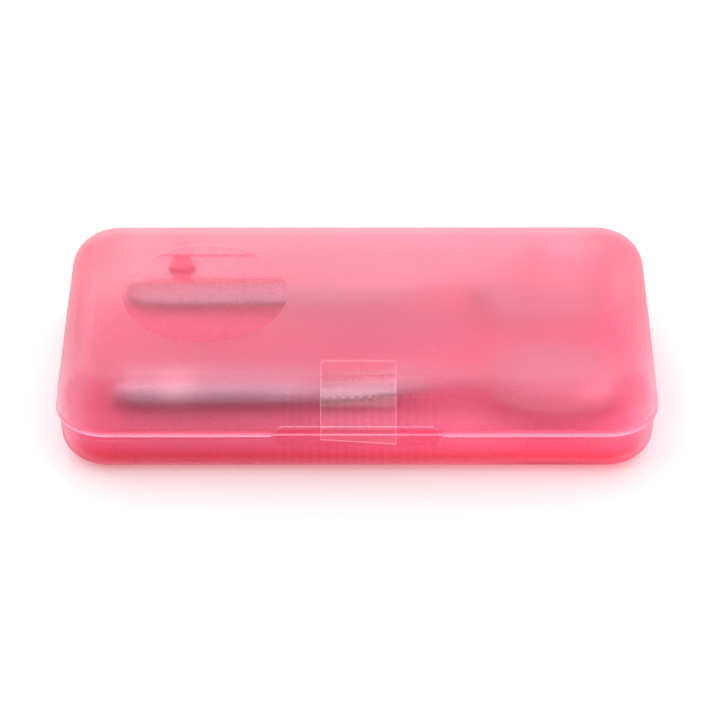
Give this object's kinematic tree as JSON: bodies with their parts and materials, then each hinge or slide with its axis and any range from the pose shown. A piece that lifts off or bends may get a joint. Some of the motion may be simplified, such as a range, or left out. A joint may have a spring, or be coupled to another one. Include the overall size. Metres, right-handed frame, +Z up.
{
  "type": "hinged travel cutlery case",
  "caption": "Shallow hinged travel case of frosted translucent plastic, with a round clear window and a thumb catch, holding a steel spoon and a steel fork.",
  "frame": {"origin": "centre of the flat underside of the base, where the case stands", "axes": "+X along the case's length to the right, -Y the front with the thumb catch, +Y the back with the hinges, +Z up"},
  "size_m": [0.168, 0.0924, 0.0287],
  "materials": {
    "base_plastic": "translucent pink polypropylene, fine matt texture",
    "lid_plastic": "frosted translucent pink polypropylene with a polished round window",
    "clear_tape": "thin clear adhesive tape, glossy",
    "polished_steel": "polished stainless steel with a fine grain",
    "pin_steel": "drawn steel wire"
  },
  "bodies": {
    "base": {"base_shell": "base_plastic", "hinge_pin_left": "pin_steel", "hinge_pin_right": "pin_steel"},
    "lid": {"lid_shell": "lid_plastic", "seal_tape": "clear_tape"},
    "spoon": {"spoon": "polished_steel"},
    "fork": {"fork": "polished_steel"}
  },
  "joints": [
    {"name": "lid_hinge", "type": "hinge", "parent": "base", "child": "lid", "pos_m": [0, 0.04605, 0.0062], "axis": [-1, 0, 0], "range_deg": [0, 120]},
    {"name": "spoon_shift", "type": "slide", "parent": "base", "child": "spoon", "axis": [1, 0, 0], "range_m": [-0.006, 0.002]},
    {"name": "fork_shift", "type": "slide", "parent": "base", "child": "fork", "axis": [1, 0, 0], "range_m": [-0.003, 0.0015]}
  ]
}
